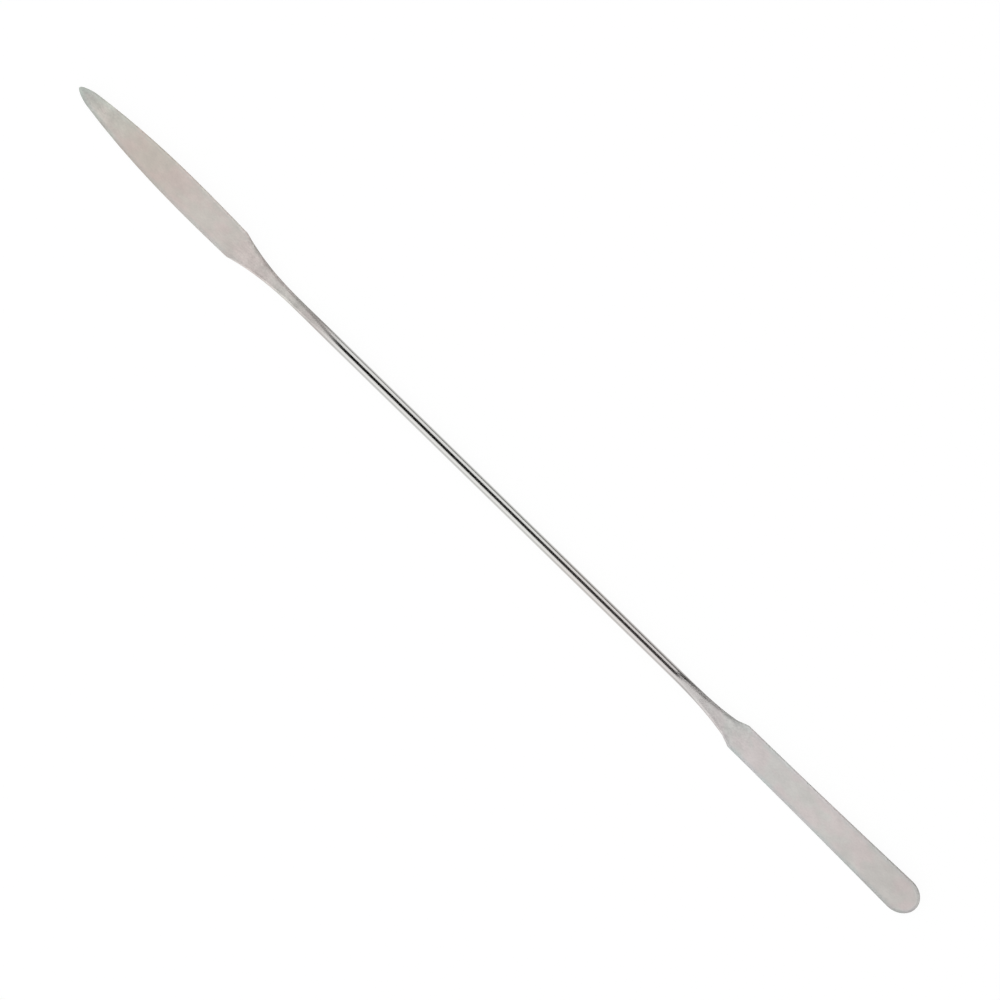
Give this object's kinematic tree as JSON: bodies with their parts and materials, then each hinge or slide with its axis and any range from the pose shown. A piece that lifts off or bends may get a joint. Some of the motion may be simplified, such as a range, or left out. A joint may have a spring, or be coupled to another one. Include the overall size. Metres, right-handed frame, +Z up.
{
  "type": "lab spatula",
  "caption": "Double-ended spatula of forged stainless wire, with a pointed lancet blade at one end, a round-ended blade at the other and a slim round shaft between them.",
  "frame": {"origin": "on the surface that the spatula lies on, below the middle of its length", "axes": "+X along the shaft towards the round-ended blade, +Z up from the surface that it lies on"},
  "size_m": [0.2, 0.0064, 0.002],
  "materials": {
    "stainless_steel": "drawn wire polished bright along the shaft, with satin blades and necks ground lengthwise"
  },
  "bodies": {
    "root": {"spatula": "stainless_steel"}
  },
  "joints": []
}
